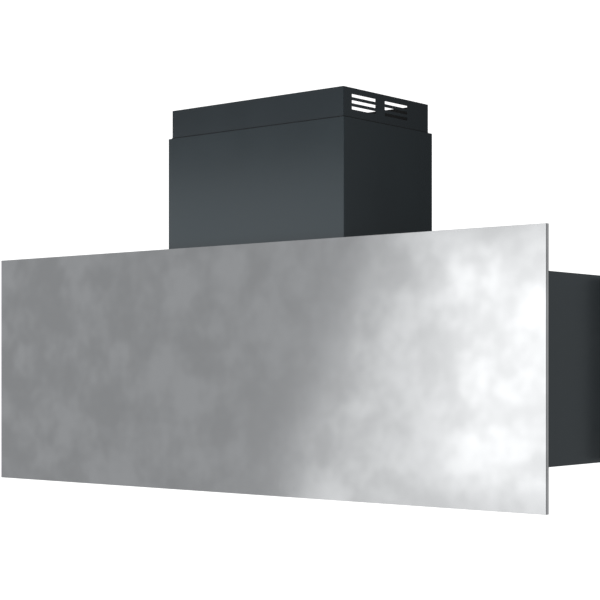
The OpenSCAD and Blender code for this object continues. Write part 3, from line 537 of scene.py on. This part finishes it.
# %% Dress the solids
finish_of_slot = {
    "painted_steel": anthracite,
    "panel_steel": panel_steel,
    "galvanised_steel": zinc_coat,
    "filter_steel": filter_steel,
    "trim_steel": strip_steel,
    "ground_steel": ground_steel,
    "motor_core": motor_core,
    "aluminium": rolled_aluminium,
    "black_plastic": black_plastic,
    "core_board": core_board,
    "seal_rubber": seal_foam,
    "circuit_board": power_green,
    "frosted_lens": lens_white,
}
finish_of_node = {"lamp_bezels": ring_steel, "control_board": control_green}
finish_of_node.update({f"button_{i}": button_steel for i in range(1, 5)})
finish_of_node.update({"sleeve_front": sleeve_coat_painted_shade, "sleeve_rear": sleeve_coat_painted_shade})
for name, solid in nodes.items():
    slot = solid.data.materials[0].name.split(".")[0]
    solid.data.materials.clear()
    solid.data.materials.append(finish_of_node.get(name, finish_of_slot[slot]))
print("dressed", len(nodes), "solids")

# %% [markdown]
# ## Soft folds
#
# Sheet steel never has a perfectly sharp edge: a fold has a small radius, and a cut edge is deburred. The
# imported triangles don't share corners, so a weld modifier joins them first. A bevel modifier then rounds
# the edges without changing the CAD mesh under it, and the narrow curve catches a line of light.

# %% Soft folds
SAME_POINT = 0.002 * MM


def soften(names, width, segments=2):
    """Rounds the edges of these solids with a curve of that width."""
    for name in names:
        weld = nodes[name].modifiers.new("weld", "WELD")
        weld.merge_threshold = SAME_POINT
        bevel = nodes[name].modifiers.new("soft_edge", "BEVEL")
        bevel.width = width
        bevel.segments = segments
        bevel.limit_method = "ANGLE"
        bevel.angle_limit = math.radians(50)
        bevel.harden_normals = True
    print("softened", len(names), "solids by", round(width / MM, 1), "mm")


sheets = ["top_plate", "front_wall", "rear_wall", "end_cover_left", "end_cover_right", "rear_panel_skin"]
soften(sheets, 0.4 * MM)
soften(["front_panel_skin"], 0.9 * MM, 3)

# %% [markdown]
# ## The glide strip
#
# Between the lower chimney and the sleeve there is a gap of a few millimetres, so that the sleeve can
# slide. A strip of foam round the sleeve fills it, spares the paint and stops the air. Its thin dark lip
# stands a little above the chimney and shows as a dark line, which also stands in for the shade at that step,
# so it is partly painted shade. The ring is one profile swept along the sleeve's outline: each loop of points
# is the outline at one corner of the profile, and each pair of neighbouring loops is joined by a band of
# faces.

# %% Glide strip
def outline(box, radius, z, steps=6):
    """Points round a rectangle (min x, min y, max x, max y) with rounded corners, at one height."""
    x0, y0, x1, y1 = box
    middles = [(x1 - radius, y1 - radius), (x0 + radius, y1 - radius),
               (x0 + radius, y0 + radius), (x1 - radius, y0 + radius)]
    points = []
    for quarter, (x, y) in enumerate(middles):
        for step in range(steps + 1):
            turn = math.radians(90 * (quarter + step / steps))
            points.append((x + radius * math.cos(turn), y + radius * math.sin(turn), z))
    return points


def swept(name, loops, finish):
    """A closed piece whose surface runs through the loops of points, and back to the first one."""
    bm = bmesh.new()
    rows = [[bm.verts.new(point) for point in loop] for loop in loops]
    for near, far in zip(rows, rows[1:] + rows[:1]):
        for i in range(len(near)):
            j = (i + 1) % len(near)
            bm.faces.new((near[i], near[j], far[j], far[i]))
    bmesh.ops.recalc_face_normals(bm, faces=bm.faces)
    mesh = bpy.data.meshes.new(name)
    bm.to_mesh(mesh)
    bm.free()
    mesh.materials.append(finish)
    return add(name, mesh)


_, chimney_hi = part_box("lower_chimney_front")
strip_gap = chimney_hi.x - sleeve_hi.x - sheet_t


def round_sleeve(grow, z, rear_most=2.2 * MM):
    """The sleeve's outline, grown by that much, but by no more than rear_most at the rear plate's flanges."""
    box = (sleeve_lo.x - grow, sleeve_lo.y - grow, sleeve_hi.x + grow, rear_hi.y + min(grow, rear_most))
    return outline(box, 2.5 * MM, z)


strip_foot = chimney_hi.z - 14 * MM
strip_step = chimney_hi.z - 0.5 * MM
strip_top = chimney_hi.z + 2.1 * MM
snug = 0.2 * MM
lip = 1.0 * MM
wide = strip_gap - snug
# The dark foam lip is partly painted shade: it makes the dark line at the step where shade falls.
glide_strip = swept("glide_strip", [
    round_sleeve(wide, strip_foot), round_sleeve(wide, strip_step), round_sleeve(lip, strip_step),
    round_sleeve(lip, strip_top), round_sleeve(snug, strip_top), round_sleeve(snug, strip_foot),
], seal_foam)
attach(glide_strip, "hood")
print("glide strip fills", round(strip_gap / MM, 2), "mm")

# %% [markdown]
# ## Floor
#
# The hood hangs in the air, so the floor lies far below it, where views from underneath don't meet it. It
# glows a little, to look as pale as the background. Reflections and bounced light ignore it, so that it
# changes nothing else.

# %% Floor
floor_radius = 14
floor_drop = 6
floor_mesh = bpy.data.meshes.new("floor")
floor_bm = bmesh.new()
bmesh.ops.create_circle(floor_bm, cap_ends=True, radius=floor_radius, segments=96)
floor_bm.to_mesh(floor_mesh)
floor_bm.free()
pale = Finish("floor_pale")
pale.set(Base_Color=(0.9, 0.9, 0.9), Roughness=0.9, Emission_Color=(1, 1, 1), Emission_Strength=0.9)
floor_mesh.materials.append(pale.material)
floor = add("floor", floor_mesh)
floor.location = (0, 0, panel_lo.z - floor_drop)
floor.visible_glossy = False
floor.visible_diffuse = False
print("floor at", round(floor.location.z, 2), "m")

# %% [markdown]
# ## World
#
# The world has two jobs, and the Light Path node tells them apart. The camera sees plain white. Every other
# ray meets a soft gradient that is brightest to the front and left and darkest behind, as in a room with a
# window on one side. The dot product of a ray's direction with that of the bright side gives the gradient.

# %% World
world = bpy.data.worlds.new("studio")
scene.world = world
world.use_nodes = True
studio = Graph(world.node_tree)
studio.tree.nodes.remove(studio.tree.nodes["Background"])
bright_side = (-0.72, -0.68, 0.1)
ray = studio.node("ShaderNodeTexCoord", {}, {}, "Generated")
toward = studio.node("ShaderNodeVectorMath", {"operation": "DOT_PRODUCT"}, {0: ray, 1: bright_side}, "Value")
level = studio.spread(toward, -0.5, 0.6, 0.17, 0.47)
room = studio.node("ShaderNodeBackground", {}, {"Color": (0.96, 0.98, 1.0), "Strength": level})
white = studio.node("ShaderNodeBackground", {}, {"Color": (1, 1, 1), "Strength": 1.2})
seen = studio.node("ShaderNodeLightPath", {}, {}, "Is Camera Ray")
chosen = studio.node("ShaderNodeMixShader", {}, {0: seen, 1: room, 2: white})
studio.join(chosen, studio.tree.nodes["World Output"].inputs["Surface"])
print("world ready")

# %% [markdown]
# ## Softboxes
#
# A softbox is an area light. Its brightness is how bright its face looks, and Blender wants watts, so that
# number is multiplied by pi and the area: a larger box then looks as bright as a small one. Light linking
# lets a light reach only the pieces it is meant for. Steel mirrors the shape of a light while paint only
# brightens under it, so each has lights of its own.

# %% Softboxes
def softbox(name, pieces, place, target, size, brightness, turn=0, colour=(1, 1, 1)):
    """A rectangle of light that faces its target, turned by that many degrees, for these pieces alone."""
    light = bpy.data.lights.new(name, "AREA")
    light.color = colour
    light.shape = "RECTANGLE"
    width, height = size
    light.size = width
    light.size_y = height
    light.energy = brightness * math.pi * width * height
    lamp = add(name, light)
    lamp.location = place
    aim = Vector(target) - Vector(place)
    facing = aim.to_track_quat("-Z", "Y").to_matrix() @ Matrix.Rotation(math.radians(turn), 3, "Z")
    lamp.rotation_euler = facing.to_euler()
    group = bpy.data.collections.new(name + "_lights")
    for piece in pieces:
        group.objects.link(piece)
    lamp.light_linking.receiver_collection = group
    print(name, "lights", len(pieces), "pieces")


def pick(*names):
    """The solids with these names."""
    return [nodes[name] for name in names]


cool = (0.9, 1.0, 1.06)
mid_z = panel_middle.z
panel_face = panel_lo.y
steel_pieces = pick("front_panel_skin", "rear_panel_skin")
chimney_pieces = pick("lower_chimney_front", "lower_chimney_rear", "sleeve_front", "sleeve_rear")
side_pieces = pick("end_cover_left", "end_cover_right")

# %% [markdown]
# ## Lights on the front
#
# The panel is nearly a mirror, so its bright part is the key light's own reflection. The key is turned, so
# that its edge runs slantwise through the panel, and a smaller core brightens the middle. A reflection
# counts only one of two lights in the same plane, so the core stands 0.1 m nearer. The chimney has a wide
# light of its own, and a narrow one from the side.

# %% Lights on the front
softbox("key_light", steel_pieces, (-0.3, panel_face - 1.6, mid_z), (-0.3, 0, mid_z),
        size=(1.3, 1.7), brightness=0.66, turn=-25)
softbox("key_core", steel_pieces, (-0.25, panel_face - 1.5, mid_z), (-0.25, 0, mid_z),
        size=(0.7, 0.62), brightness=0.7)
softbox("chimney_light", chimney_pieces, (-0.3, panel_face - 1.6, -0.33), (-0.3, 0, -0.33),
        size=(5, 1.06), brightness=1.2, colour=cool)
softbox("corner_light", chimney_pieces, (1.68, 1.24, 0), (0.198, -0.1, 0),
        size=(0.7, 1.6), brightness=0.3, colour=cool)

# %% [markdown]
# ## Lights from the side and above
#
# Behind the right end stands one softbox twice: a cool one for the painted end covers, and a white one for
# the panels' edges. The top light leaves the chimney out, so that the chimney's front stays dark.

# %% Lights from the side and above
side_place = (1.6, 1.9, mid_z)
side_target = (0.54, 0, mid_z)
side_size = (1.6, 1.6)
softbox("side_light", side_pieces, side_place, side_target,
        size=side_size, brightness=0.3, colour=cool)
softbox("edge_light", steel_pieces, side_place, side_target,
        size=side_size, brightness=0.3)
other_pieces = [solid for solid in nodes.values() if solid not in chimney_pieces]
softbox("top_light", other_pieces, (0.3, -0.6, 2.2), (0, 0, -0.3),
        size=(2.5, 2.5), brightness=1.2)

# %% [markdown]
# ## Lights for the other sides
#
# From behind, from the end and from below, the hood would be dark. So there is one light each for the rear
# panel, the painted end and chimney, the sheets at the rear, the board inside the panel, and the underside
# with its filters and buttons.

# %% Lights for the other sides
softbox("back_light", pick("rear_panel_skin"), (1.3, 2.0, -0.35), (1.3, 0, -0.35),
        size=(2.2, 1.3), brightness=0.5, turn=20)
softbox("end_light", side_pieces + chimney_pieces, (2.6, -0.2, -0.2), (0, 0, -0.35),
        size=(1.3, 1.3), brightness=0.45, colour=cool)
rear_pieces = pick("lower_chimney_rear", "sleeve_rear", "rear_wall")
softbox("rear_light", rear_pieces, (1.5, 1.9, -0.1), (1.5, 0, -0.1),
        size=(2.8, 1.1), brightness=1.2, colour=cool)
softbox("board_light", pick("panel_cores"), (1.3, -1.2, mid_z), (0.57, 0.155, mid_z),
        size=(1.2, 1.2), brightness=6.4)
under_names = [name for name in nodes if name.startswith(("filter_", "button_"))]
under_pieces = pick("bottom_tray", "lamp_bezels", "lamp_lenses", "control_plate", *under_names)
softbox("under_light", under_pieces, (-0.4, 0.9, -2.7), (0, 0, -0.56),
        size=(3.4, 3.0), brightness=1.1)
